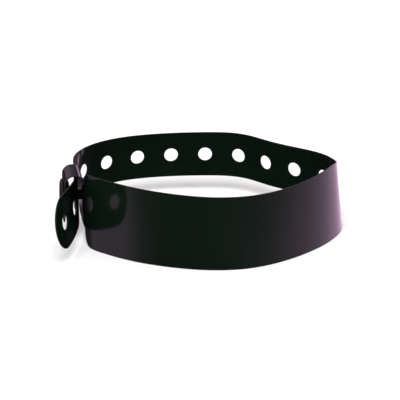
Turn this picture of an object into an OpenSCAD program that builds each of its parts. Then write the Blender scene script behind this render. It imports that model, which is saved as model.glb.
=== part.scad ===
// Snap-closing vinyl wristband: a wide writing face, a narrower punched strap
// that makes the rest of the loop, and a side flap that folds over the strap's
// top edge and snaps onto a post through one of the strap's holes.
// The band stands on the lower edge of its face. X runs along the face, the
// face looks towards -Y, Z is up, and the origin is under the middle of the loop.

/* [Sheet] */
// Thickness of the vinyl sheet
sheet_t = 0.35; // [0.25:0.05:0.5]
// Height of the face above the line of the holes
face_above = 8.7; // [7:0.1:10]
// Height of the punched strap
strap_h = 13.5; // [12:0.5:16]
// Radius of the corners at the face's closed end
face_corner = 3.6; // [1:0.2:6]

/* [Lengths along the band, from the snap] */
// Where the face begins
face_from = 8.8; // [8:0.2:12]
// Where the face narrows to the strap
face_to = 105.6; // [90:0.2:107]
// Length of the shoulder on the face's lower edge
shoulder = 5; // [2:1:12]
// Length of the gentler shoulder on its upper edge
upper_shoulder = 16; // [4:1:24]
// Where the strap is free to swing off the snap
swing_at = 196; // [180:1:200]
// Where the free end bends
bend_at = 224.7; // [222:0.1:227]
// Where the free end stops
tail_to = 236; // [234:0.2:242]

/* [Holes] */
// Diameter of each punched hole
hole_d = 4; // [3:0.1:5]
// Distance from hole to hole
pitch = 10; // [8:0.5:13]
// Distance along the band to the hole that is on the snap
snap_hole = 209.7; // [209:0.1:210]

/* [Closure] */
// Height of the closure tab above the holes' line
tab_above = 4.7; // [4:0.1:6]
// Depth of the closure tab below the holes' line
tab_below = 6.4; // [4:0.1:7]
// Length of the tab behind the snap
tab_back = 6.6; // [5:0.2:7.6]
// Distance from the snap to the flap's front edge
flap_front = 6; // [5:0.2:8.4]
// How much farther forward the fold's roof reaches
flap_roof = 2; // [0:0.2:2.4]
// Distance from the snap to the flap's back edge, at the fold
fold_back = 2.4; // [1:0.2:6]
// Distance from the snap to the flap's back edge, round the cap
flap_back = 4.6; // [4:0.2:6]
// Radius of the flap's corners
flap_corner = 3; // [1:0.2:4]
// Half the distance that the fold spans, over the strap's top edge
fold_r = 2.25; // [1.8:0.05:3]
// Height of the fold above the flap's root
fold_h = 2.25; // [1.8:0.05:3]
// How square the fold is, where 1 is a half circle
fold_square = 0.7; // [0.5:0.05:1]
// How far the flap leans out below the fold, in degrees
flare = 2; // [0:0.5:8]
// Length of the flap below the fold
flap_drop = 11.6; // [8:0.2:14]
// Clear gap on each side of the flap's hinge line
hinge_gap = 0.3; // [0.2:0.05:0.5]

/* [Snap] */
// Diameter of the two round caps
cap_d = 9; // [6:0.2:10]
// Thickness of the two round caps
cap_t = 0.7; // [0.5:0.1:1.5]
// Diameter of the stud's neck
neck_d = 2.7; // [2:0.1:3.2]
// Diameter of the stud's head
head_d = 3.3; // [2.6:0.1:3.6]
// Distance from the tab's middle to the end of the stud
stud_len = 3.7; // [3:0.1:5]
// Outside diameter of the socket ring
socket_d = 7.8; // [6:0.2:8.4]
// Inside diameter of the socket ring
socket_bore = 6.2; // [5:0.1:6.8]
// Depth of the socket ring
socket_t = 1.3; // [0.8:0.1:2]
// Diameter of the rivets that hold the snap to the sheet
rivet_d = 2; // [1.5:0.1:2.4]

/* [Hidden] */
$fn = 64;
black = [0.05, 0.06, 0.055];
half_h = strap_h / 2;
half_t = sheet_t / 2;
// Place of the snap in the plan, and the height of the holes' line there
snap_x = -32.01;
snap_y = -2.85;
// Heading of the band at distances from the snap, as it goes round the wrist
bends = [[-8, -79.5], [9.5, -79.5], [13.5, -35], [19, -43], [32, -26], [42, -17],
         [50, 0], [62, 32], [70, 44], [88, 61], [96, 71], [104, 105], [114, 145],
         [121, 146], [128, 137], [134, 128], [144, 176], [154, 182], [168, 195],
         [180, 221], [196, 264], [204, 289], [216, 267], [228, 260], [242, 253]];
// How far the sheet's top leans outwards
leans = [[-8, 0], [4, 0], [18, 0], [30, 4], [42, 8], [50, 10], [60, 8], [72, 3],
         [84, -3], [96, -6.5], [106, -7], [132, -3], [170, -5], [186, -4],
         [202, 0], [214, 0], [228, 6], [242, 8]];
// Height of the holes' line above the floor
heights = [[-8, 10.65], [20, 11.2], [48, 11.4], [92, 11], [102, 11], [144, 11.6],
           [186, 11.2], [214, 10.7], [228, 10.3], [242, 10]];
// The path is laid out in short straight steps from its first point
first_s = -8;
last_s = 242;
step = 0.5;
reach = 4;
count = (last_s - first_s) / step;
snap_i = -first_s / step;

function total(v, i = 0) = i < len(v) ? v[i] + total(v, i + 1) : 0;
function eased(table, s) =
    let (near = [for (k = [-reach:1:reach]) lookup(s + k, table)])
    total(near) / len(near);
function steps(a) = step * [cos(a), sin(a)];

headings = [for (i = [0:count]) eased(bends, first_s + (i + 0.5) * step)];
trail = [for (i = 0, p = [0, 0]; i <= count; p = p + steps(headings[i]), i = i + 1) p];
place = [for (p = trail) p - trail[snap_i] + [snap_x, snap_y]];

function plan(s) =
    let (u = (s - first_s) / step, i = min(floor(u), count - 1))
    place[i] + (u - i) * (place[i + 1] - place[i]);
function head(s) = eased(bends, s);
function lean(s) = eased(leans, s);
function line_z(s) = eased(heights, s);

// A point on the sheet: s along it, q up it from the holes' line, o out from its middle
function on_sheet(s, q, o) =
    let (p = plan(s), h = head(s), a = lean(s), r = q * sin(a) + o * cos(a))
    [p.x + sin(h) * r, p.y - cos(h) * r, line_z(s) + q * cos(a) - o * sin(a)];
// How far up the sheet the floor is
function floor_q(s, o) = (o * sin(lean(s)) - line_z(s)) / cos(lean(s));
// The four corners of the sheet's section, for a row of [s, lower edge, upper edge];
// an edge of floor_up lies that far above the floor
function section(r) =
    let (low = [for (o = [-half_t, half_t]) r[3] ? floor_q(r[0], o) + r[1] : r[1]])
    [on_sheet(r[0], low[0], -half_t), on_sheet(r[0], low[1], half_t),
     on_sheet(r[0], r[2], half_t), on_sheet(r[0], r[2], -half_t)];

// A stretch of sheet through a list of sections
module sheet(rows) {
    n = len(rows);
    points = [for (r = rows) each section(r)];
    sides = [for (j = [0:n - 2], k = [0:3])
        let (a = 4 * j + k, b = 4 * j + (k + 1) % 4)
        each [[a, b, b + 4], [a, b + 4, a + 4]]];
    e = 4 * (n - 1);
    ends = [[0, 3, 2], [0, 2, 1], [e, e + 1, e + 2], [e, e + 2, e + 3]];
    polyhedron(points = points, faces = concat(sides, ends), convexity = 8);
}

// Rows of even spacing, both ends included
function span(from, to, gap) =
    let (n = max(1, round((to - from) / gap)))
    [for (k = [0:n]) from + (to - from) * k / n];
function smooth(x) = let (c = min(1, max(0, x))) c * c * (3 - 2 * c);
// Upper edge of the face, which comes down to the strap's
function face_top(s) =
    let (w = smooth((s - face_to + upper_shoulder) / upper_shoulder))
    face_above * (1 - w) + half_h * w;
// Rows of a plain stretch of strap
function strap_rows(from, to) = [for (s = span(from, to, 1.5)) [s, -half_h, half_h, false]];

// Turns the drawing so that +X points out of the sheet at s, and +Y along it
module stand(s) {
    translate(on_sheet(s, 0, 0))
        rotate([0, 0, head(s) - 90])
            rotate([0, lean(s), 0])
                children();
}
module punch(s, d) {
    stand(s)
        rotate([0, 90, 0])
            cylinder(d = d, h = 3, center = true);
}
// Holes of the strap that fall between two distances
module punched(from, to) {
    difference() {
        children();
        for (k = [-2:1:11]) {
            s = snap_hole - pitch * k;
            if (s > from && s < to) {
                punch(s, hole_d);
            }
        }
    }
}
// A round piece of the snap: it runs from x = from to x = to out of the tab
module turned(from, to, d1, d2) {
    translate([from, 0, 0])
        rotate([0, 90, 0])
            cylinder(d1 = d1, d2 = d2, h = to - from);
}

// Wide face, with rounded corners at its closed end and a shoulder at the other
module face_panel() {
    corner = [for (a = [0:15:90])
        let (c = face_corner * (1 - sin(a)))
        [face_from + face_corner * (1 - cos(a)), c, face_above - c, true]];
    middle = [for (s = span(face_from + face_corner, face_to - shoulder, 1.5))
        if (s > face_from + face_corner + 0.1) [s, 0, face_top(s), true]];
    narrow = [for (k = [1:6])
        let (w = smooth(k / 6), s = face_to - shoulder + shoulder * k / 6)
        [s, floor_q(s, 0) * (1 - w) - half_h * w, face_top(s), false]];
    color(black)
        sheet(concat(corner, middle, narrow));
}
// Narrow tab that carries the stud; its top edge is the flap's hinge
module closure_tab() {
    r = 2.5;
    rounded = [for (a = [0:15:75])
        let (c = r * (1 - sin(a)))
        [-tab_back + r * (1 - cos(a)), -tab_below + c, tab_above - c, false]];
    rest = [for (s = span(r - tab_back, face_from, 1.5)) [s, -tab_below, tab_above, false]];
    color(black)
        difference() {
            sheet(concat(rounded, rest));
            punch(0, rivet_d);
        }
}
// Fixed stretch of the punched strap, behind the wrist
module perforated_strap() {
    color(black)
        punched(face_to, swing_at)
            sheet(strap_rows(face_to, swing_at - 0.1));
}
// Stretch of the strap that lifts off the snap
module strap_end() {
    color(black)
        punched(swing_at, bend_at)
            sheet(strap_rows(swing_at + 0.1, bend_at - 0.15));
}
// Free end past the snap, with a round end
module strap_tip() {
    r = half_h;
    round_end = [for (a = [75:-15:15]) [tail_to - r * (1 - cos(a)), -r * sin(a), r * sin(a), false]];
    last = [tail_to, -0.8, 0.8, false];
    color(black)
        punched(bend_at, tail_to)
            sheet(concat(strap_rows(bend_at + 0.15, tail_to - r), round_end, [last]));
}

// Middle line of the flap, from its hinge over the fold and down outside the strap
fold_z = tab_above + 2 * hinge_gap;
function squared(x, power) = sign(x) * pow(abs(x), power);
fold_line = [for (a = [0:6:180])
    let (power = a < 90 ? fold_square : 1)
        [fold_r * (1 - squared(cos(a), power)), fold_z + fold_h * squared(sin(a), power)]];
drop_dir = [sin(flare), -cos(flare)];
flap_end = [2 * fold_r, fold_z] + flap_drop * drop_dir;
// Where the flap crosses the holes' line
flap_u = 2 * fold_r + fold_z * tan(flare);

// Side flap, folded over the strap's top edge, and wider round its cap
module fold_flap() {
    far = concat(fold_line, [flap_end]);
    color(black)
        stand(0)
            difference() {
                intersection() {
                    translate([0, flap_front + flap_roof, 0])
                        rotate([90, 0, 0])
                            linear_extrude(height = flap_front + flap_roof + flap_back)
                                ribbon(far);
                    union() {
                        translate([-2, 0, 0])
                            rotate([90, 0, 90])
                                linear_extrude(height = 12)
                                    flap_outline();
                        translate([-2, 0, 0])
                            rotate([90, 0, 90])
                                linear_extrude(height = 12)
                                    flap_roof_outline(fold_z, fold_z + 1.7);
                        translate([fold_r, 0, 0])
                            rotate([90, 0, 90])
                                linear_extrude(height = 12 - fold_r - 2)
                                    flap_roof_outline(1.6, 4.4);
                    }
                }
                turned(flap_u - 2, flap_u + 2, rivet_d, rivet_d);
            }
}
// The flap's outline seen square on, from its lower end to the fold
module flap_outline() {
    r = flap_corner;
    low = flap_end.y;
    high = 3.6;
    for (y = [-flap_back + r, flap_front - r]) {
        translate([y, low + r])
            circle(r = r);
    }
    translate([r - flap_back, low])
        square([flap_front + flap_back - 2 * r, high - low]);
    translate([-flap_back, low + r])
        square([flap_front + flap_back, high - low - 2 * r]);
    translate([r - flap_back, high - r])
        circle(r = r);
    translate([-fold_back, low + r])
        square([flap_front + fold_back, 20]);
}
// The roof's reach past the flap's front edge, tapered between two heights
module flap_roof_outline(start, full) {
    polygon([[flap_front - 1, start], [flap_front, start], [flap_front + flap_roof, full],
             [flap_front + flap_roof, fold_z + 6], [flap_front - 1, fold_z + 6]]);
}
// The band of even thickness along a line of points
module ribbon(line) {
    for (k = [0:len(line) - 2]) {
        d = line[k + 1] - line[k];
        n = [-d.y, d.x] / norm(d) * half_t;
        polygon([line[k] - n, line[k + 1] - n, line[k + 1] + n, line[k] + n]);
    }
    for (k = [1:len(line) - 2]) {
        translate(line[k])
            circle(r = half_t, $fn = 16);
    }
}
// Round cap on the tab's inside, with the rivet that goes through the tab
module post_cap() {
    color(black)
        stand(0) {
            turned(-half_t - cap_t, -half_t - cap_t / 2, cap_d - 1, cap_d);
            turned(-half_t - cap_t / 2, -half_t, cap_d, cap_d);
            turned(-half_t - 0.1, half_t + 1, rivet_d - 0.06, rivet_d - 0.06);
        }
}
// Stud that goes through the strap's hole into the socket
module snap_stud() {
    color(black)
        stand(0)
            difference() {
                union() {
                    turned(half_t, stud_len - 1.2, neck_d, neck_d);
                    turned(stud_len - 1.2, stud_len - 0.7, neck_d, head_d);
                    turned(stud_len - 0.7, stud_len, head_d, head_d - 0.8);
                }
                turned(0, half_t + 1.05, rivet_d, rivet_d);
            }
}
// Round cap on the flap's outside, with the rivet that holds the socket
module socket_cap() {
    color(black)
        stand(0)
            at_flap() {
                turned(half_t + cap_t / 2, half_t + cap_t, cap_d, cap_d - 1);
                turned(half_t, half_t + cap_t / 2, cap_d, cap_d);
                turned(-half_t - 0.5, half_t + 0.1, rivet_d - 0.06, rivet_d - 0.06);
            }
}
// Ring that grips the stud, closed at its back by a thin wall
module snap_socket() {
    color(black)
        stand(0)
            at_flap()
                difference() {
                    turned(-half_t - socket_t, -half_t, socket_d, socket_d);
                    turned(-half_t - socket_t - 1, -half_t - 0.55, socket_bore, socket_bore);
                    turned(-half_t - 0.56, 0, rivet_d, rivet_d);
                }
}
// Turns the drawing square to the flap, where it crosses the holes' line
module at_flap() {
    translate([flap_u, 0, 0])
        rotate([0, -flare, 0])
            children();
}

face_panel();
closure_tab();
perforated_strap();
strap_end();
strap_tip();
fold_flap();
post_cap();
snap_stud();
socket_cap();
snap_socket();
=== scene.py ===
"""Looks of the snap wristband: glossy black vinyl sheet, its side flap and its plastic snap."""
import math
import bpy
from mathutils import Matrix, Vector


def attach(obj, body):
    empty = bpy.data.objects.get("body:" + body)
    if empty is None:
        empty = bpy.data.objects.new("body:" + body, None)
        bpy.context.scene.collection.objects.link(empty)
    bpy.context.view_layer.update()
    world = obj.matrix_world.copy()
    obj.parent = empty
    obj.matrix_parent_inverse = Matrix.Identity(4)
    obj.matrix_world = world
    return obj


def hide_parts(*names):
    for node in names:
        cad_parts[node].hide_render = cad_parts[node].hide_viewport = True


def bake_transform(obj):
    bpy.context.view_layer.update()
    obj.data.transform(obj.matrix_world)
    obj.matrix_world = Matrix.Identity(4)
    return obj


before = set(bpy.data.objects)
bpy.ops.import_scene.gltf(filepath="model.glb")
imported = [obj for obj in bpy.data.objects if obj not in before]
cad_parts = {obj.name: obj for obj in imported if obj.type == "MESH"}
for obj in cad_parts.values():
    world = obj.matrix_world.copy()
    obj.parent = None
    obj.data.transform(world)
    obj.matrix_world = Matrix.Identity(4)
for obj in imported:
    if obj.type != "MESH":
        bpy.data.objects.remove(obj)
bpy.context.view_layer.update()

# lengths are millimetres, and MM turns them into the scene's metres
MM = 0.001
HALF_T = 0.175          # half the sheet's thickness
STRAP_HALF = 6.75
FACE_FROM, FACE_TO = 8.8, 105.6
FACE_ABOVE, FACE_CORNER = 8.7, 3.6
SHOULDER, UPPER_SHOULDER = 5.0, 16.0
TAB_BACK, TAB_ABOVE, TAB_BELOW, TAB_CORNER = 6.6, 5.0, 6.4, 2.5
PITCH, HOLE_R, SNAP_HOLE = 10.0, 2.0, 209.7
PITCHES_TO_SNAP = 10    # from the strap's first hole to the one on the snap
BACK_HOLES, BEND_HOLES, TAIL_HOLES = 7, 3, 1
BEND_SEAM, TAIL_SEAM, TAIL_TO = 184.7, 214.7, 236.0


# ---------------------------------------------------------------- materials
def new_material(name):
    made = bpy.data.materials.new(name)
    made.use_nodes = True
    tree = made.node_tree
    return made, tree, tree.nodes["Principled BSDF"]


def link(tree, a, b):
    tree.links.new(a, b)


def wire(tree, pairs):
    for a, b in pairs:
        link(tree, a, b)


def vinyl():
    """Calendered black vinyl: deep green-black, glossy, faintly wavy, with duller cut edges."""
    made, tree, skin = new_material("black_vinyl")
    nodes = tree.nodes
    where = nodes.new("ShaderNodeTexCoord")
    uv = nodes.new("ShaderNodeUVMap")
    uv.uv_map = "sheet"

    cloud = nodes.new("ShaderNodeTexNoise")
    cloud.inputs["Scale"].default_value = 90
    cloud.inputs["Detail"].default_value = 3
    link(tree, where.outputs["Object"], cloud.inputs["Vector"])
    tint = nodes.new("ShaderNodeValToRGB")
    tint.color_ramp.elements[0].color = (0.0022, 0.0058, 0.0034, 1)
    tint.color_ramp.elements[1].color = (0.0034, 0.0092, 0.0052, 1)
    link(tree, cloud.outputs["Fac"], tint.inputs["Fac"])

    edge = nodes.new("ShaderNodeAttribute")
    edge.attribute_name = "cut_edge"
    paint = nodes.new("ShaderNodeMix")
    paint.data_type = "RGBA"
    paint.inputs[7].default_value = (0.012, 0.014, 0.013, 1)
    link(tree, edge.outputs["Fac"], paint.inputs[0])
    link(tree, tint.outputs["Color"], paint.inputs[6])
    link(tree, paint.outputs[2], skin.inputs["Base Color"])

    smear = nodes.new("ShaderNodeTexNoise")
    smear.inputs["Scale"].default_value = 9
    smear.inputs["Detail"].default_value = 4
    smear.inputs["Distortion"].default_value = 0.6
    link(tree, uv.outputs["UV"], smear.inputs["Vector"])
    dull = nodes.new("ShaderNodeMapRange")
    dull.inputs["From Min"].default_value = 0.3
    dull.inputs["From Max"].default_value = 0.75
    dull.inputs["To Min"].default_value = 0.10
    dull.inputs["To Max"].default_value = 0.16
    link(tree, smear.outputs["Fac"], dull.inputs["Value"])
    rough = nodes.new("ShaderNodeMath")
    rough.operation = "MULTIPLY_ADD"
    rough.inputs[1].default_value = 0.35
    link(tree, edge.outputs["Fac"], rough.inputs[0])
    link(tree, dull.outputs["Result"], rough.inputs[2])
    link(tree, rough.outputs[0], skin.inputs["Roughness"])

    peel = nodes.new("ShaderNodeTexNoise")
    peel.inputs["Scale"].default_value = 700
    peel.inputs["Detail"].default_value = 2
    link(tree, where.outputs["Object"], peel.inputs["Vector"])
    fine = nodes.new("ShaderNodeBump")
    fine.inputs["Strength"].default_value = 0.05
    fine.inputs["Distance"].default_value = 0.00002
    link(tree, peel.outputs["Fac"], fine.inputs["Height"])
    wave = nodes.new("ShaderNodeTexNoise")
    wave.inputs["Scale"].default_value = 45
    wave.inputs["Detail"].default_value = 1
    link(tree, where.outputs["Object"], wave.inputs["Vector"])
    broad = nodes.new("ShaderNodeBump")
    broad.inputs["Strength"].default_value = 0.12
    broad.inputs["Distance"].default_value = 0.0002
    link(tree, wave.outputs["Fac"], broad.inputs["Height"])
    link(tree, fine.outputs["Normal"], broad.inputs["Normal"])
    link(tree, broad.outputs["Normal"], skin.inputs["Normal"])
    skin.inputs["IOR"].default_value = 1.5
    return made


def moulded():
    """Moulded black plastic of the snap: a little duller, with a fine grain."""
    made, tree, skin = new_material("black_moulding")
    nodes = tree.nodes
    where = nodes.new("ShaderNodeTexCoord")
    grain = nodes.new("ShaderNodeTexNoise")
    grain.inputs["Scale"].default_value = 2600
    grain.inputs["Detail"].default_value = 3
    link(tree, where.outputs["Object"], grain.inputs["Vector"])
    tint = nodes.new("ShaderNodeValToRGB")
    tint.color_ramp.elements[0].color = (0.0040, 0.0050, 0.0048, 1)
    tint.color_ramp.elements[1].color = (0.0090, 0.0105, 0.0100, 1)
    link(tree, grain.outputs["Fac"], tint.inputs["Fac"])
    link(tree, tint.outputs["Color"], skin.inputs["Base Color"])
    dull = nodes.new("ShaderNodeMapRange")
    dull.inputs["To Min"].default_value = 0.2
    dull.inputs["To Max"].default_value = 0.34
    link(tree, grain.outputs["Fac"], dull.inputs["Value"])
    link(tree, dull.outputs["Result"], skin.inputs["Roughness"])
    bump = nodes.new("ShaderNodeBump")
    bump.inputs["Strength"].default_value = 0.12
    bump.inputs["Distance"].default_value = 0.00002
    link(tree, grain.outputs["Fac"], bump.inputs["Height"])
    link(tree, bump.outputs["Normal"], skin.inputs["Normal"])
    return made


def pale():
    """The studio floor: matt, almost white paper."""
    made, tree, skin = new_material("pale_floor")
    nodes = tree.nodes
    where = nodes.new("ShaderNodeTexCoord")
    paper = nodes.new("ShaderNodeTexNoise")
    paper.inputs["Scale"].default_value = 40
    link(tree, where.outputs["Object"], paper.inputs["Vector"])
    tint = nodes.new("ShaderNodeValToRGB")
    tint.color_ramp.elements[0].color = (0.88, 0.87, 0.87, 1)
    tint.color_ramp.elements[1].color = (0.9, 0.89, 0.89, 1)
    link(tree, paper.outputs["Fac"], tint.inputs["Fac"])
    link(tree, tint.outputs["Color"], skin.inputs["Base Color"])
    skin.inputs["Roughness"].default_value = 0.9
    skin.inputs["Specular IOR Level"].default_value = 0.0
    return made


VINYL, SNAP = vinyl(), moulded()


# ---------------------------------------------------------------- the band's path
# by the distance s along the sheet: heading in degrees, lean, and height of the holes' line
BENDS = [(-8, -79.5), (9.5, -79.5), (13.5, -35), (19, -43), (32, -26), (42, -17),
         (50, 0), (62, 32), (70, 44), (88, 61), (96, 71), (104, 105), (114, 145),
         (121, 146), (128, 137), (134, 128), (144, 176), (154, 182), (168, 195),
         (180, 221), (196, 264), (204, 289), (216, 267), (228, 260), (242, 253)]
LEANS = [(-8, 0), (4, 0), (18, 0), (30, 4), (42, 8), (50, 10), (60, 8), (72, 3),
         (84, -3), (96, -6.5), (106, -7), (132, -3), (170, -5), (186, -4),
         (202, 0), (214, 0), (228, 6), (242, 8)]
HEIGHTS = [(-8, 10.65), (20, 11.2), (48, 11.4), (92, 11), (102, 11), (144, 11.6),
           (186, 11.2), (214, 10.7), (228, 10.3), (242, 10)]
SNAP_AT = (-32.01, -2.85)
FIRST, LAST, STEP, REACH = -8.0, 242.0, 0.5, 4


def lookup(x, table):
    """What a table of (place, value) pairs says at x, straight between its places."""
    if x <= table[0][0]:
        return table[0][1]
    for (x0, y0), (x1, y1) in zip(table, table[1:]):
        if x <= x1:
            return y0 + (y1 - y0) * (x - x0) / (x1 - x0)
    return table[-1][1]


def eased(table, s):
    """A table's value at s, averaged over REACH on either side so that it has no kinks."""
    return sum(lookup(s + k, table) for k in range(-REACH, REACH + 1)) / (2 * REACH + 1)


def lay_path():
    """Walks along the band by its headings, then shifts the walk so that s = 0 is the snap."""
    count = int((LAST - FIRST) / STEP)
    points = [(0.0, 0.0)]
    for i in range(count):
        a = math.radians(eased(BENDS, FIRST + (i + 0.5) * STEP))
        x, y = points[-1]
        points.append((x + STEP * math.cos(a), y + STEP * math.sin(a)))
    zero = points[int(-FIRST / STEP)]
    return [(x - zero[0] + SNAP_AT[0], y - zero[1] + SNAP_AT[1]) for x, y in points]


PATH = lay_path()


def plan(s):
    """Where the band's middle is, seen from above."""
    u = (s - FIRST) / STEP
    i = max(0, min(int(u), len(PATH) - 2))
    (x0, y0), (x1, y1) = PATH[i], PATH[i + 1]
    return x0 + (u - i) * (x1 - x0), y0 + (u - i) * (y1 - y0)


def on_sheet(s, q, o):
    """A point of the band: s along it, q up it from the holes' line, o out of its middle."""
    x, y = plan(s)
    h, a = math.radians(eased(BENDS, s)), math.radians(eased(LEANS, s))
    r = q * math.sin(a) + o * math.cos(a)
    z = eased(HEIGHTS, s) + q * math.cos(a) - o * math.sin(a)
    return Vector((x + math.sin(h) * r, y - math.cos(h) * r, z)) * MM


def floor_q(s):
    """How far up the sheet the floor is, with room for its thickness where it leans."""
    a = math.radians(eased(LEANS, s))
    return (HALF_T * abs(math.sin(a)) - eased(HEIGHTS, s)) / math.cos(a)


def smooth(x):
    """Eases from 0 to 1."""
    c = min(1.0, max(0.0, x))
    return c * c * (3 - 2 * c)


def cut_back(d, r):
    """How far a rounded corner of radius r is cut back at a distance d from its start."""
    return r - math.sqrt(max(0, r * r - max(0, r - d) ** 2))


# ---------------------------------------------------------------- the flap's fold
FLAP_FRONT, FOLD_BACK, FLAP_BACK, FLAP_CORNER = 6.0, 2.4, 4.6, 3.0
FLAP_ROOF = 2.0         # how much farther forward the fold's roof reaches
ROOF_RISE, ROOF_HOLD, ROOF_FALL = 2.2, 0.6, 3.2
BACK_CURVE_LOW, BACK_CURVE_TOP = 0.6, 3.49
FOLD_R, FOLD_H, FOLD_SQUARE, FLARE, FLAP_DROP = 2.25, 2.25, 0.75, math.radians(2), 11.6
HINGE_V, FOLD_V = 5.0, 5.3
SNAP_HEAD = math.radians(eased(BENDS, 0))
OUT = Vector((math.sin(SNAP_HEAD), -math.cos(SNAP_HEAD), 0))
FORWARD = Vector((math.cos(SNAP_HEAD), math.sin(SNAP_HEAD), 0))
UP = Vector((0, 0, 1))
SNAP_POINT = on_sheet(0, 0, 0)


def local(u, w, v):
    """A point by the snap: u out of the tab, w along the band, v up."""
    return SNAP_POINT + (OUT * u + FORWARD * w + UP * v) * MM


def lay_fold():
    """The fold from the tab up and over to the flap's lower end, and the run to each point."""
    def squared(x, power):
        return math.copysign(abs(x) ** power, x)

    line = [(0.0, HINGE_V), (0.0, (HINGE_V + FOLD_V) / 2)]
    for k in range(0, 181, 3):
        a, power = math.radians(k), FOLD_SQUARE if k < 90 else 1.0
        line.append((FOLD_R * (1 - squared(math.cos(a), power)),
                     FOLD_V + FOLD_H * squared(math.sin(a), power)))
    for k in range(1, 25):
        d = FLAP_DROP * k / 24
        line.append((2 * FOLD_R + d * math.sin(FLARE), FOLD_V - d * math.cos(FLARE)))
    run = [0.0]
    for (u0, v0), (u1, v1) in zip(line, line[1:]):
        run.append(run[-1] + math.hypot(u1 - u0, v1 - v0))
    return line, run


FOLD, FOLD_RUN = lay_fold()
FLAP_LONG = FOLD_RUN[-1]
FLAP_LOW = FOLD[-1][1]


def fold_at(t):
    """The fold's point (u, v) after a run of t."""
    t = min(max(t, -1.0), FLAP_LONG + 1.0)
    i = 0
    while i < len(FOLD_RUN) - 2 and FOLD_RUN[i + 1] < t:
        i += 1
    k = (t - FOLD_RUN[i]) / (FOLD_RUN[i + 1] - FOLD_RUN[i])
    (u0, v0), (u1, v1) = FOLD[i], FOLD[i + 1]
    return u0 + k * (u1 - u0), v0 + k * (v1 - v0)


def fold_slope(t):
    """The fold's direction there."""
    (u0, v0), (u1, v1) = fold_at(t - 0.35), fold_at(t + 0.35)
    n = math.hypot(u1 - u0, v1 - v0)
    return (u1 - u0) / n, (v1 - v0) / n


# ---------------------------------------------------------------- node trees
def new_tree(name, inputs):
    """A modifier's tree with the given named inputs: (label, socket type, default)."""
    tree = bpy.data.node_groups.new(name, "GeometryNodeTree")
    tree.is_modifier = True
    tree.interface.new_socket("Geometry", in_out="INPUT", socket_type="NodeSocketGeometry")
    for label, kind, default in inputs:
        socket = tree.interface.new_socket(label, in_out="INPUT", socket_type=kind)
        if default is not None:
            socket.default_value = default
    tree.interface.new_socket("Geometry", in_out="OUTPUT", socket_type="NodeSocketGeometry")
    return tree, tree.nodes.new("NodeGroupInput"), tree.nodes.new("NodeGroupOutput")


def finish_tree(tree, given, shape, result):
    """Ends a tree: instances made real, and the sheet's material set."""
    real = tree.nodes.new("GeometryNodeRealizeInstances")
    coat = tree.nodes.new("GeometryNodeSetMaterial")
    wire(tree, [(shape, real.inputs["Geometry"]),
                (real.outputs["Geometry"], coat.inputs["Geometry"]),
                (given.outputs["Material"], coat.inputs["Material"]),
                (coat.outputs["Geometry"], result.inputs["Geometry"])])


def apply_tree(made, tree, values):
    """Runs a tree on an object and gives its result as a plain mesh."""
    modifier = made.modifiers.new("shape", "NODES")
    modifier.node_group = tree
    for item in tree.interface.items_tree:
        if item.item_type == "SOCKET" and item.in_out == "INPUT" and item.name in values:
            modifier[item.identifier] = values[item.name]
    bpy.context.view_layer.update()
    graph = bpy.context.evaluated_depsgraph_get()
    mesh = bpy.data.meshes.new_from_object(made.evaluated_get(graph),
                                           preserve_all_data_layers=True, depsgraph=graph)
    made.modifiers.remove(modifier)
    return mesh


def punching_tree():
    """One cell of sheet with its hole, repeated along the strap at the holes' pitch."""
    tree, given, result = new_tree("punched_strip", [
        ("First Hole", "NodeSocketFloat", 0.0), ("Pitch", "NodeSocketFloat", 0.01),
        ("Holes", "NodeSocketInt", 1), ("Join Distance", "NodeSocketFloat", 1e-6),
        ("Material", "NodeSocketMaterial", None)])
    nodes = tree.nodes
    start = nodes.new("ShaderNodeCombineXYZ")
    step = nodes.new("ShaderNodeCombineXYZ")
    line = nodes.new("GeometryNodeMeshLine")
    each = nodes.new("GeometryNodeInstanceOnPoints")
    real = nodes.new("GeometryNodeRealizeInstances")
    join = nodes.new("GeometryNodeMergeByDistance")
    wire(tree, [(given.outputs["First Hole"], start.inputs["X"]),
                (given.outputs["Pitch"], step.inputs["X"]),
                (given.outputs["Holes"], line.inputs["Count"]),
                (start.outputs[0], line.inputs["Start Location"]),
                (step.outputs[0], line.inputs["Offset"]),
                (line.outputs["Mesh"], each.inputs["Points"]),
                (given.outputs["Geometry"], each.inputs["Instance"]),
                (each.outputs["Instances"], real.inputs["Geometry"]),
                (real.outputs["Geometry"], join.inputs["Geometry"]),
                (given.outputs["Join Distance"], join.inputs["Distance"])])
    finish_tree(tree, given, join.outputs["Geometry"], result)
    return tree


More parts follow.
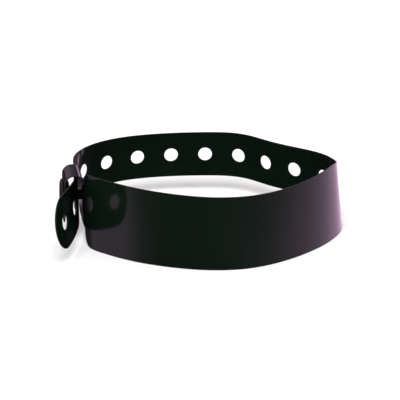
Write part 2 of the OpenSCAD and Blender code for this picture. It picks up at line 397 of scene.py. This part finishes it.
def bending_tree():
    """Bends a flat sheet along a path: X runs along it, Y across it and Z out of it. The path's
    points carry the three directions, and a lift that isn't part of its length."""
    tree, given, result = new_tree("bent_sheet", [
        ("Path", "NodeSocketObject", None), ("Path Start", "NodeSocketFloat", 0.0),
        ("Material", "NodeSocketMaterial", None)])
    nodes = tree.nodes

    def vector(operation, *sockets):
        node = nodes.new("ShaderNodeVectorMath")
        node.operation = operation
        free = [s for s in node.inputs if s.enabled]
        for socket, end in zip(sockets, free):
            link(tree, socket, end)
        return node.outputs["Vector"]

    path = nodes.new("GeometryNodeObjectInfo")
    curve = nodes.new("GeometryNodeMeshToCurve")
    here = nodes.new("GeometryNodeInputPosition")
    flat = nodes.new("ShaderNodeSeparateXYZ")
    run = nodes.new("ShaderNodeMath")
    run.operation = "SUBTRACT"
    wire(tree, [(given.outputs["Path"], path.inputs["Object"]),
                (path.outputs["Geometry"], curve.inputs["Mesh"]),
                (here.outputs["Position"], flat.inputs[0]),
                (flat.outputs["X"], run.inputs[0]),
                (given.outputs["Path Start"], run.inputs[1])])

    def along_path(name):
        """What the path's points carry under a name, at this point's distance along it."""
        carried = nodes.new("GeometryNodeInputNamedAttribute")
        carried.data_type = "FLOAT_VECTOR"
        carried.inputs["Name"].default_value = name
        taken = nodes.new("GeometryNodeSampleCurve")
        taken.mode = "LENGTH"
        taken.data_type = "FLOAT_VECTOR"
        value = next(s for s in taken.inputs if s.name == "Value" and s.enabled)
        found = next(s for s in taken.outputs if s.name == "Value" and s.enabled)
        wire(tree, [(curve.outputs["Curve"], taken.inputs["Curves"]),
                    (carried.outputs["Attribute"], value),
                    (run.outputs[0], taken.inputs["Length"])])
        return found, taken.outputs["Position"]

    lift, spot = along_path("lift")
    ways = [vector("NORMALIZE", along_path(name)[0]) for name in ("along", "across", "outward")]

    skin = nodes.new("GeometryNodeInputNamedAttribute")
    skin.data_type = "FLOAT_VECTOR"
    skin.inputs["Name"].default_value = "skin_normal"
    parts = nodes.new("ShaderNodeSeparateXYZ")
    link(tree, skin.outputs["Attribute"], parts.inputs[0])

    def scaled(way, amount):
        node = nodes.new("ShaderNodeVectorMath")
        node.operation = "SCALE"
        wire(tree, [(way, node.inputs[0]), (amount, node.inputs["Scale"])])
        return node.outputs["Vector"]

    turned = vector("ADD", vector("ADD", scaled(ways[0], parts.outputs["X"]),
                                  scaled(ways[1], parts.outputs["Y"])),
                    scaled(ways[2], parts.outputs["Z"]))
    placed = vector("ADD", vector("ADD", spot, lift),
                    vector("ADD", scaled(ways[1], flat.outputs["Y"]),
                           scaled(ways[2], flat.outputs["Z"])))
    keep = nodes.new("GeometryNodeStoreNamedAttribute")
    keep.data_type = "FLOAT_VECTOR"
    keep.inputs["Name"].default_value = "skin_normal"
    move = nodes.new("GeometryNodeSetPosition")
    value = next(s for s in keep.inputs if s.name == "Value" and s.enabled)
    wire(tree, [(given.outputs["Geometry"], keep.inputs["Geometry"]), (turned, value),
                (keep.outputs["Geometry"], move.inputs["Geometry"]),
                (placed, move.inputs["Position"])])
    finish_tree(tree, given, move.outputs["Geometry"], result)
    return tree


PUNCHING, BENDING = punching_tree(), bending_tree()


def path_object(name, spots):
    """A path as a line of points: each spot is (place, lift, along, across, outward)."""
    mesh = bpy.data.meshes.new(name)
    mesh.from_pydata([s[0] for s in spots], [(i, i + 1) for i in range(len(spots) - 1)], [])
    for k, label in enumerate(("lift", "along", "across", "outward")):
        held = mesh.attributes.new(label, "FLOAT_VECTOR", "POINT")
        held.data.foreach_set("vector", [c for s in spots for c in s[k + 1]])
    made = bpy.data.objects.new(name, mesh)
    bpy.context.scene.collection.objects.link(made)
    return made


def band_path():
    spots = []
    for i, (x, y) in enumerate(PATH):
        s = FIRST + STEP * i
        h, a = math.radians(eased(BENDS, s)), math.radians(eased(LEANS, s))
        spots.append(((x * MM, y * MM, 0), (0, 0, eased(HEIGHTS, s) * MM),
                      (math.cos(h), math.sin(h), 0),
                      (math.sin(h) * math.sin(a), -math.cos(h) * math.sin(a), math.cos(a)),
                      (math.sin(h) * math.cos(a), -math.cos(h) * math.cos(a), -math.sin(a))))
    return path_object("band_path", spots)


def flap_path():
    spots = []
    for (u, v), t in zip(FOLD, FOLD_RUN):
        du, dv = fold_slope(t)
        spots.append((local(u, 0, v), (0, 0, 0), OUT * du + UP * dv, FORWARD, UP * du - OUT * dv))
    return path_object("flap_path", spots)


BAND_PATH, FLAP_PATH = band_path(), flap_path()


# ---------------------------------------------------------------- sheets with rounded edges
EDGE = 0.07             # how far the rim is rounded
UV_PER_MM = 0.01
RIM = [(90, 1), (60, 1), (30, 1), (0, 1), (0, -1), (-30, -1), (-60, -1), (-90, -1)]


def shell(name, flat, path, path_start, seams=()):
    """A closed sheet over flat points (a, b): two skins, and a rounded rim on every edge but
    the seams, where it meets another piece of the same sheet. It is made flat, then bent."""
    points, faces = flat.points, flat.faces

    def on_seam(i):
        return any(abs(points[i][0] - s) < 1e-3 for s in seams)

    used = {edge for f in faces for edge in zip(f, f[1:] + f[:1])}
    rim = [(i, j) for i, j in used if (j, i) not in used]
    rim.sort()
    push = {}
    for i, j in rim:
        dx, dy = points[j][0] - points[i][0], points[j][1] - points[i][1]
        n = math.hypot(dx, dy)
        for k in (i, j):
            push.setdefault(k, []).append((dy / n, -dx / n, on_seam(i) and on_seam(j)))
    away = {}
    for k, edges in push.items():
        kept = [e for e in edges if not e[2]]
        if not kept:
            away[k] = None
            continue
        x, y = sum(e[0] for e in kept), sum(e[1] for e in kept)
        n = math.hypot(x, y) or 1.0
        x, y = x / n, y / n
        reach = max(0.6, x * kept[0][0] + y * kept[0][1])
        if on_seam(k):
            x, y, reach = 0.0, math.copysign(1, y), 1.0
        away[k] = (x / reach, y / reach)

    verts, normals, uvs, rims = [], [], [], []

    def add(a, b, o, n, rounding):
        """A point of the shell, o out of the sheet's middle, with its normal."""
        verts.append((a * MM, b * MM, o * MM))
        normals.append(Vector(n).normalized())
        uvs.append((a * UV_PER_MM, b * UV_PER_MM))
        rims.append(rounding)
        return len(verts) - 1

    rings = []
    for i, (a, b) in enumerate(points):
        if i not in away:
            rings.append([add(a, b, HALF_T, (0, 0, 1), 0.0), add(a, b, -HALF_T, (0, 0, -1), 0.0)])
            continue
        d, ring = away[i], []
        for degrees, side in RIM:
            t = math.radians(degrees)
            o = side * (HALF_T - EDGE) + EDGE * math.sin(t)
            if d is None:
                ring.append(add(a, b, o, (0, 0, side), 0.0))
            else:
                e = EDGE * (math.cos(t) - 1)
                ring.append(add(a + e * d[0], b + e * d[1], o,
                                (d[0] * math.cos(t), d[1] * math.cos(t), math.sin(t)),
                                max(0.0, math.cos(t))))
        rings.append(ring)
    polys = [[rings[i][0] for i in f] for f in faces]
    polys += [[rings[i][-1] for i in reversed(f)] for f in faces]
    for i, j in rim:
        for k in range(len(RIM) - 1):
            polys.append([rings[j][k], rings[i][k], rings[i][k + 1], rings[j][k + 1]])

    made = mesh_object(name, verts, polys)
    layer = made.data.uv_layers.new(name="sheet")
    for loop in made.data.loops:
        layer.data[loop.index].uv = uvs[loop.vertex_index]
    edge = made.data.attributes.new("cut_edge", "FLOAT", "POINT")
    edge.data.foreach_set("value", rims)
    skin = made.data.attributes.new("skin_normal", "FLOAT_VECTOR", "POINT")
    skin.data.foreach_set("vector", [c for n in normals for c in n])

    bent = apply_tree(made, BENDING, {"Path": path, "Path Start": path_start * MM,
                                      "Material": VINYL})
    made.data = bent
    held = [Vector(v.vector) for v in bent.attributes["skin_normal"].data]
    bent.attributes.remove(bent.attributes["skin_normal"])
    bent.normals_split_custom_set_from_vertices(held)
    bent.update()
    return made


def mesh_object(name, verts, polys):
    mesh = bpy.data.meshes.new(name)
    mesh.from_pydata(verts, [], polys)
    mesh.polygons.foreach_set("use_smooth", [True] * len(mesh.polygons))
    mesh.update()
    made = bpy.data.objects.new(name, mesh)
    bpy.context.scene.collection.objects.link(made)
    return made


class Flat:
    """Flat points shared by the cells that meet at them."""

    def __init__(self):
        self.points, self.faces, self.seen = [], [], {}

    def point(self, a, b):
        key = (round(a, 3), round(b, 3))
        if key not in self.seen:
            self.seen[key] = len(self.points)
            self.points.append((a, b))
        return self.seen[key]

    def grid(self, stations, low, high, across):
        """Quads between two edges, over a list of stations along a."""
        rows = [[self.point(a, low(a) + (high(a) - low(a)) * k / across)
                 for k in range(across + 1)] for a in stations]
        for r0, r1 in zip(rows, rows[1:]):
            for k in range(across):
                self.faces.append([r0[k], r1[k], r1[k + 1], r0[k + 1]])

    def holed(self, outline, centre, radius, rings=6):
        """Quads between a round hole and the outline of its cell."""
        rows, inner = [], []
        for a, b in outline:
            n = math.hypot(a - centre[0], b - centre[1])
            inner.append((centre[0] + radius * (a - centre[0]) / n,
                          centre[1] + radius * (b - centre[1]) / n))
        for r in range(rings + 1):
            k = (r / rings) ** 1.25
            rows.append([self.point(x0 + k * (x1 - x0), y0 + k * (y1 - y0))
                         for (x0, y0), (x1, y1) in zip(inner, outline)])
        n = len(outline)
        for r0, r1 in zip(rows, rows[1:]):
            for i in range(n):
                j = (i + 1) % n
                self.faces.append([r0[i], r1[i], r1[j], r0[j]])


def span(a, b, n):
    return [a + (b - a) * k / n for k in range(n + 1)]


def cell_outline(a0, a1, along=14, across=16):
    low = [(a, -STRAP_HALF) for a in span(a0, a1, along)]
    right = [(a1, q) for q in span(-STRAP_HALF, STRAP_HALF, across)][1:]
    top = [(a, STRAP_HALF) for a in span(a1, a0, along)][1:]
    left = [(a0, q) for q in span(STRAP_HALF, -STRAP_HALF, across)][1:-1]
    return low + right + top + left


def tail_outline(a0, a1, across=16):
    r = STRAP_HALF
    low = [(a, -r) for a in span(a0, a1 - r, 8)]
    tip = [(a1 - r + r * math.cos(math.radians(t)), r * math.sin(math.radians(t)))
           for t in span(-90, 90, 30)][1:]
    top = [(a, r) for a in span(a1 - r, a0, 8)][1:]
    left = [(a0, q) for q in span(r, -r, across)][1:-1]
    return low + tip + top + left


def punched(flat, first_hole, holes):
    """Adds a run of whole cells: one is made by hand and the tree repeats it."""
    cell = Flat()
    cell.holed(cell_outline(-PITCH / 2, PITCH / 2), (0, 0), HOLE_R)
    one = mesh_object("strap_cell", [(a * MM, b * MM, 0) for a, b in cell.points], cell.faces)
    strip = apply_tree(one, PUNCHING, {"First Hole": first_hole * MM, "Pitch": PITCH * MM,
                                       "Holes": holes, "Join Distance": 0.002 * MM,
                                       "Material": VINYL})
    bpy.data.objects.remove(one)
    index = [flat.point(v.co.x / MM, v.co.y / MM) for v in strip.vertices]
    flat.faces += [[index[v] for v in p.vertices] for p in strip.polygons]


def strap_back_piece():
    flat = Flat()
    first = SNAP_HOLE - PITCHES_TO_SNAP * PITCH
    flat.holed(cell_outline(FACE_TO, first + PITCH / 2), (first, 0), HOLE_R)
    punched(flat, first + PITCH, BACK_HOLES)
    return shell("strap_back", flat, BAND_PATH, FIRST, (FACE_TO, BEND_SEAM))


def strap_bend_piece():
    flat = Flat()
    punched(flat, SNAP_HOLE - 2 * PITCH, BEND_HOLES)
    return shell("strap_bend", flat, BAND_PATH, FIRST, (BEND_SEAM, TAIL_SEAM))


def strap_tail_piece():
    flat = Flat()
    punched(flat, SNAP_HOLE + PITCH, TAIL_HOLES)
    last = SNAP_HOLE + 2 * PITCH
    flat.holed(tail_outline(last - PITCH / 2, TAIL_TO), (last, 0), HOLE_R)
    return shell("strap_tail", flat, BAND_PATH, FIRST, (TAIL_SEAM,))


def off_the_rim(stations, end):
    """Leaves out stations so near an end that the rounding of its rim would pass them."""
    return [s for s in stations if s == end or abs(s - end) > 1.5 * EDGE]


def build_face():
    """The wide face and, in the same sheet, the tab behind its closed end."""
    def low(s):
        if s < FACE_FROM + 1e-6:
            return -TAB_BELOW + cut_back(s + TAB_BACK, TAB_CORNER)
        w = smooth((s - FACE_TO + SHOULDER) / SHOULDER)
        c = cut_back(s - FACE_FROM, FACE_CORNER)
        return (floor_q(s) + c) * (1 - w) - STRAP_HALF * w

    def high(s):
        if s < FACE_FROM + 1e-6:
            return TAB_ABOVE - cut_back(s + TAB_BACK, TAB_CORNER)
        w = smooth((s - FACE_TO + UPPER_SHOULDER) / UPPER_SHOULDER)
        c = cut_back(s - FACE_FROM, FACE_CORNER)
        return FACE_ABOVE * (1 - w) + STRAP_HALF * w - c

    turned = [1 - math.cos(math.radians(t)) for t in span(0, 90, 12)]
    step = 0.02
    start = FACE_FROM + step
    stations = off_the_rim([TAB_CORNER * t - TAB_BACK for t in turned], -TAB_BACK)
    stations += span(TAB_CORNER - TAB_BACK, FACE_FROM, 15)[1:]
    stations += off_the_rim([start + (FACE_CORNER - step) * t for t in turned], start)
    stations += span(FACE_FROM + FACE_CORNER, FACE_TO, 124)[1:]
    flat = Flat()
    flat.grid(stations, low, high, 24)
    return shell("face_sheet", flat, BAND_PATH, FIRST, (FACE_TO,))


def build_flap():
    """The side flap, folded over the strap: narrow at the fold and wider round its cap."""
    r, top = FLAP_CORNER, FLAP_LONG - FLAP_DROP

    def back(t):
        v = fold_at(t)[1]
        if t < top or v > BACK_CURVE_TOP:
            return -FOLD_BACK
        if v > BACK_CURVE_LOW:
            return r - FLAP_BACK - math.sqrt(max(0.0, r * r - (v - BACK_CURVE_LOW) ** 2))
        return -FLAP_BACK + cut_back(v - FLAP_LOW, r)

    def front(t):
        fall = smooth((t - top - ROOF_HOLD) / ROOF_FALL)
        reach = FLAP_FRONT + FLAP_ROOF * smooth(t / ROOF_RISE) * (1 - fall)
        return reach if t < top else reach - cut_back(fold_at(t)[1] - FLAP_LOW, r)

    stations = span(0, top, 48) + span(top, FLAP_LONG - r, 40)[1:]
    lower = [FLAP_LONG - r + r * math.sin(math.radians(t)) for t in span(0, 90, 12)]
    stations += off_the_rim(lower[1:], lower[-1])
    flat = Flat()
    flat.grid(stations, back, front, 20)
    return shell("flap_sheet", flat, FLAP_PATH, 0)


# ---------------------------------------------------------------- turned pieces of the snap
def lathe(name, profile, place, turns=72):
    """A closed turned piece from (radius, distance out) pairs; it starts and ends on the axis."""
    verts, polys, rings = [], [], []
    for r, u in profile:
        if r < 1e-6:
            verts.append(place(u, 0, 0))
            rings.append([len(verts) - 1] * turns)
            continue
        start = len(verts)
        for k in range(turns):
            a = 2 * math.pi * k / turns
            verts.append(place(u, r * math.cos(a), r * math.sin(a)))
        rings.append(list(range(start, start + turns)))
    for r0, r1 in zip(rings, rings[1:]):
        for k in range(turns):
            j = (k + 1) % turns
            f = []
            for v in (r0[k], r0[j], r1[j], r1[k]):
                if v not in f:
                    f.append(v)
            if len(f) > 2:
                polys.append(f)
    return mesh_object(name, verts, polys)


def fillet(points, radius, steps=5):
    """Rounds the inner corners of a profile by up to radius."""
    done = [points[0]]
    for (ax, ay), (bx, by), (cx, cy) in zip(points, points[1:], points[2:]):
        la, lc = math.hypot(ax - bx, ay - by), math.hypot(cx - bx, cy - by)
        d = min(radius, 0.45 * la, 0.45 * lc)
        p0 = (bx + (ax - bx) * d / la, by + (ay - by) * d / la)
        p1 = (bx + (cx - bx) * d / lc, by + (cy - by) * d / lc)
        for k in range(steps + 1):
            t = k / steps
            done.append(tuple((1 - t) ** 2 * p + 2 * t * (1 - t) * b + t * t * q
                              for p, b, q in zip(p0, (bx, by), p1)))
    return done + [points[-1]]


FLAP_U = 2 * FOLD_R + FOLD_V * math.tan(FLARE)


def at_flap(u, w, v):
    """A point by the flap's half of the snap: as local, but square to the flared flap."""
    c, s = math.cos(FLARE), math.sin(FLARE)
    return local(FLAP_U + u * c - v * s, w, u * s + v * c)


def build_snap():
    """The snap's four turned pieces: cap and stud on the tab, cap and socket on the flap."""
    t = HALF_T
    post_cap = lathe("post_cap_turned", fillet(
        [(0, -t - 0.62), (1.1, -t - 0.62), (1.3, -t - 0.7), (3.9, -t - 0.66), (4.5, -t - 0.3),
         (4.5, -t), (0.97, -t), (0.97, t + 0.98), (0, t + 0.98)], 0.18), local)
    stud = lathe("snap_stud_turned", fillet(
        [(0, t + 1.05), (1.0, t + 1.05), (1.0, t), (1.35, t), (1.35, 2.5), (1.65, 3.0),
         (1.65, 3.25), (1.25, 3.7), (0.5, 3.7), (0.4, 3.5), (0, 3.5)], 0.14), local)
    cap = lathe("socket_cap_turned", fillet(
        [(0, -t - 0.48), (0.97, -t - 0.48), (0.97, t), (4.5, t), (4.5, t + 0.3), (3.9, t + 0.66),
         (1.3, t + 0.7), (1.1, t + 0.62), (0, t + 0.62)], 0.18), at_flap)
    socket = lathe("snap_socket_turned", fillet(
        [(0, -t - 0.55), (3.1, -t - 0.55), (3.1, -t - 1.3), (3.7, -t - 1.3), (3.9, -t - 1.1),
         (3.9, -t), (1.0, -t), (1.0, -t - 0.5), (0, -t - 0.5)], 0.14), at_flap)
    return post_cap, stud, cap, socket


# ---------------------------------------------------------------- the pieces
face = build_face()
strap_back, strap_bend, strap_tail = strap_back_piece(), strap_bend_piece(), strap_tail_piece()
flap = build_flap()
post_cap, stud, socket_cap, socket = build_snap()

bpy.data.objects.remove(BAND_PATH)
bpy.data.objects.remove(FLAP_PATH)
for piece in (post_cap, stud, socket_cap, socket):
    piece.data.materials.append(SNAP)

for piece in (face, strap_back, post_cap, stud):
    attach(piece, "band")
for piece in (flap, socket_cap, socket):
    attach(piece, "flap")
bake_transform(strap_bend)
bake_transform(strap_tail)
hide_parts("face_panel", "closure_tab")
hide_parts("perforated_strap")
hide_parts("strap_end")
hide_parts("strap_tip")
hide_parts("fold_flap")
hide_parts("post_cap")
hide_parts("snap_stud")
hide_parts("socket_cap")
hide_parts("snap_socket")

# ---------------------------------------------------------------- floor, light and camera
bpy.ops.mesh.primitive_plane_add(size=6, location=(0, 0, 0))
floor = bpy.context.object
floor.name = "floor"
floor.data.materials.append(pale())
floor.visible_glossy = False

# how bright the surround is below the floor's level, level with the object and above it:
# degrees round from +X, strength
SURROUND = [(-180, 0.50), (-165, 0.50), (-152, 0.13), (-140, 0.03), (-90, 0.04), (-58, 0.09),
            (-30, 0.15), (-10, 0.25), (5, 0.42), (22, 0.62), (31, 0.85), (41, 1.15), (57, 1.45),
            (80, 1.3), (94, 0.3), (104, 0.04), (155, 0.06), (169, 0.42), (180, 0.5)]
LEVEL = [(-180, 0.4), (-150, 0.2), (-120, 0.05), (-20, 0.05), (10, 0.6), (60, 0.9), (82, 1.2),
         (96, 0.3), (104, 0.3), (114, 0.3), (140, 0.3), (180, 0.4)]
ABOVE = [(-180, 0.5), (-150, 0.3), (-120, 0.05), (-20, 0.05), (10, 0.8), (45, 1.2), (70, 0.6),
         (90, 0.05), (110, 0.3), (140, 0.7), (180, 0.5)]
SURROUND_TINT = (1.0, 0.66, 0.96)


def glow_material():
    """Soft light from a card, graded by the strength held in its mesh."""
    made = bpy.data.materials.new("soft_card")
    made.use_nodes = True
    made.cycles.emission_sampling = "NONE"
    nodes = made.node_tree.nodes
    nodes.clear()
    held = nodes.new("ShaderNodeAttribute")
    held.attribute_name = "glow"
    lit = nodes.new("ShaderNodeEmission")
    out = nodes.new("ShaderNodeOutputMaterial")
    wire(made.node_tree, [(held.outputs["Color"], lit.inputs["Color"]),
                          (lit.outputs[0], out.inputs["Surface"])])
    return made


CARD = glow_material()


def glowing_wall(name, foot, glows, low, high, closed, unseen):
    """An upright glowing wall over points of the floor, unseen by the rays that are named."""
    verts, polys, held = [], [], []
    for (x, y), glow in zip(foot, glows):
        verts += [(x, y, low), (x, y, high)]
        held += [*glow, 1.0] * 2
    for k in range(len(foot) if closed else len(foot) - 1):
        j = (k + 1) % len(foot)
        polys.append([2 * k, 2 * k + 1, 2 * j + 1, 2 * j])
    made = mesh_object(name, verts, polys)
    made.data.attributes.new("glow", "FLOAT_COLOR", "POINT").data.foreach_set("color", held)
    made.data.materials.append(CARD)
    for ray in ("diffuse", "transmission", "volume_scatter", "shadow", unseen):
        setattr(made, "visible_" + ray, False)


def tinted(strength):
    return [strength * c for c in SURROUND_TINT]


def circle(radius, turns):
    """The degrees round from +X, and the points there."""
    turned = [-180 + 360 * k / turns for k in range(turns)]
    return turned, [(radius * math.cos(math.radians(d)), radius * math.sin(math.radians(d)))
                    for d in turned]


def surround_card(name, strengths, low, high):
    """A round card about the object that only reflections see."""
    turned, foot = circle(0.8, 120)
    glows = [tinted(lookup(d, strengths)) for d in turned]
    glowing_wall(name, foot, glows, low, high, True, "camera")


def inner_curtain(inset=-3, low=-30, high=16.5):
    """A dark curtain within the loop, again only for reflections; its left end glows a little."""
    stations = list(range(4, 207, 2))
    foot = [on_sheet(s, 0, inset).xy for s in stations]
    glows = [tinted(0.003 + 0.08 * smooth((s - 178) / 14)) for s in stations]
    glowing_wall("inner_curtain", foot, glows, low * MM, high * MM, False, "camera")


def backdrop():
    """A plain white wall round the floor, which only the camera sees."""
    foot = circle(2.9, 96)[1]
    glowing_wall("backdrop", foot, [(1, 1, 1)] * len(foot), -0.01, 3, True, "glossy")


def panel(name, place, look, size, power):
    """A soft rectangular light that faces a point."""
    light = bpy.data.lights.new(name, "AREA")
    light.shape = "RECTANGLE"
    light.size, light.size_y = size
    light.energy = power
    made = bpy.data.objects.new(name, light)
    made.location = place
    made.rotation_euler = (Vector(look) - Vector(place)).to_track_quat("-Z", "Y").to_euler()
    bpy.context.scene.collection.objects.link(made)
    return made


world = bpy.data.worlds.new("studio")
bpy.context.scene.world = world
world.use_nodes = True
world.node_tree.nodes["Background"].inputs["Color"].default_value = (1, 0.985, 0.985, 1)
world.node_tree.nodes["Background"].inputs["Strength"].default_value = 0.66
world.cycles_visibility.glossy = False

surround_card("surround_below", SURROUND, -1.2, 0.0)
surround_card("surround_level", LEVEL, 0.0, 0.16)
surround_card("surround_above", ABOVE, 0.16, 1.0)
backdrop()
inner_curtain()
front_top = panel("front_top", (-0.15, -1.1, 1.6), (0, 0, 0), (1.3, 1.3), 40)
front_top.visible_glossy = False

camera = bpy.data.objects.new("camera", bpy.data.cameras.new("camera"))
bpy.context.scene.collection.objects.link(camera)
camera.data.lens = 103.12
camera.data.sensor_width = 36
camera.data.clip_start = 0.01
camera.location = Vector((-0.55, -290.23, 107.14)) * MM
looked_at = Vector((-0.55, -11.35, 12.09)) * MM
camera.rotation_euler = (looked_at - camera.location).to_track_quat("-Z", "Y").to_euler()
bpy.context.scene.camera = camera
bpy.context.scene.view_settings.view_transform = "Standard"
